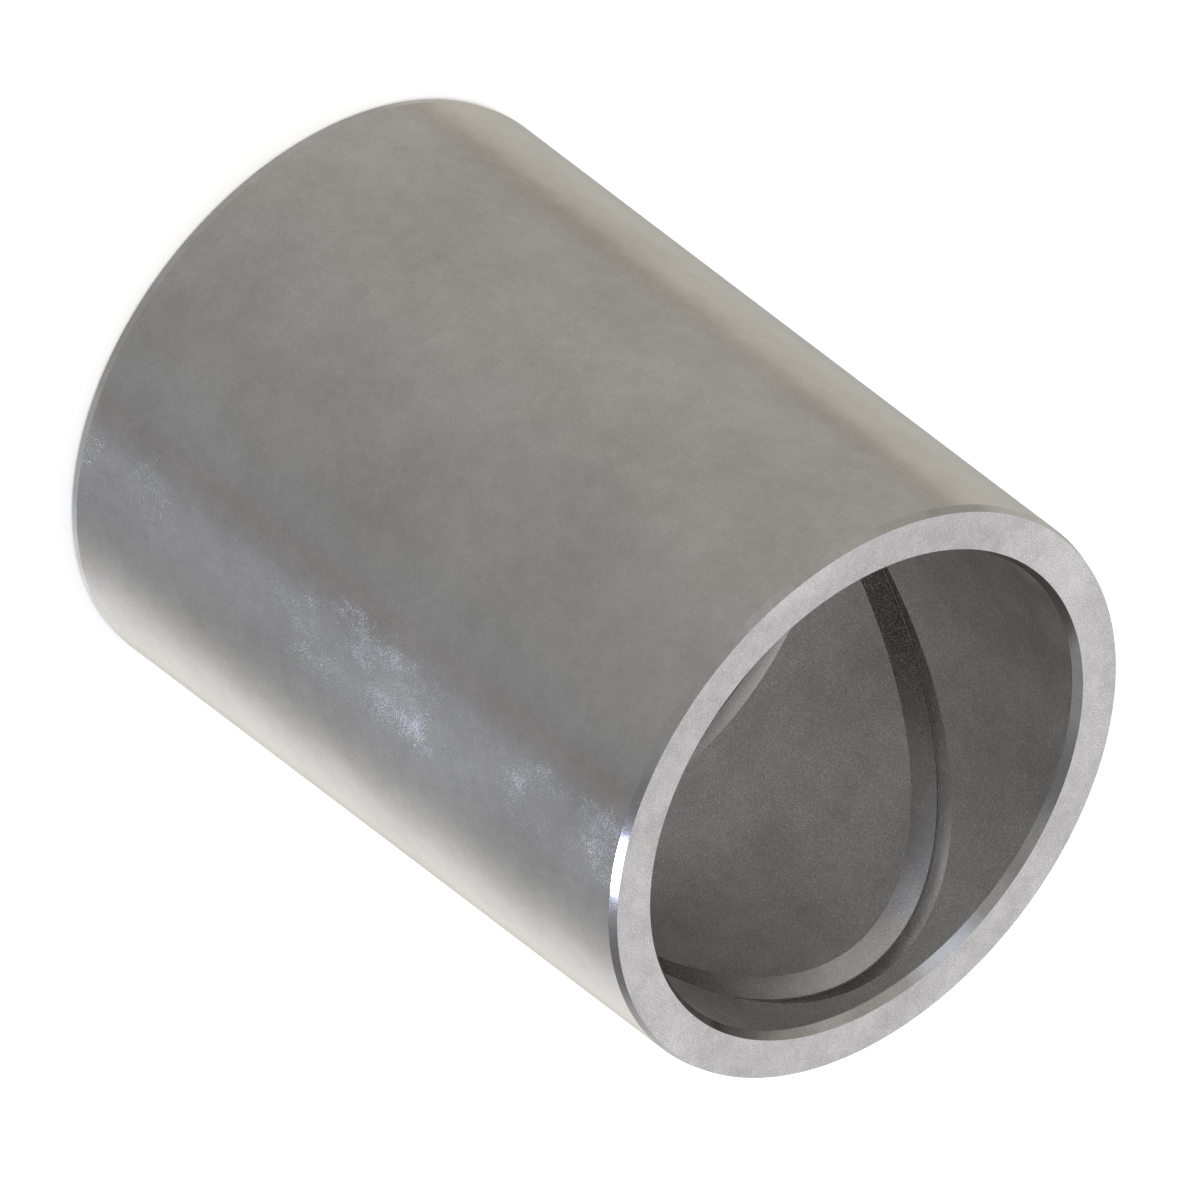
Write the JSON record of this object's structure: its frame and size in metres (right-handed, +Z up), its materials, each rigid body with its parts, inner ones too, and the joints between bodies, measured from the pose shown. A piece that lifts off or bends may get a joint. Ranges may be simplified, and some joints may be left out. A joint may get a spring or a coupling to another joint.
{
  "type": "boom bushing",
  "caption": "Plain steel sleeve for a boom's pivot pin, chamfered inside and out at its ends, with a ring and a slanted loop of V-shaped grease grooves in its bore.",
  "frame": {"origin": "centre of the lower end face, on the bore's axis", "axes": "+Z up along the bore; +X towards the side where the loop groove comes closest to the upper end"},
  "size_m": [0.095, 0.095, 0.125],
  "materials": {
    "steel": "fine turned and hardened, satin, with a dull grey cast"
  },
  "bodies": {
    "root": {"sleeve": "steel"}
  },
  "joints": []
}
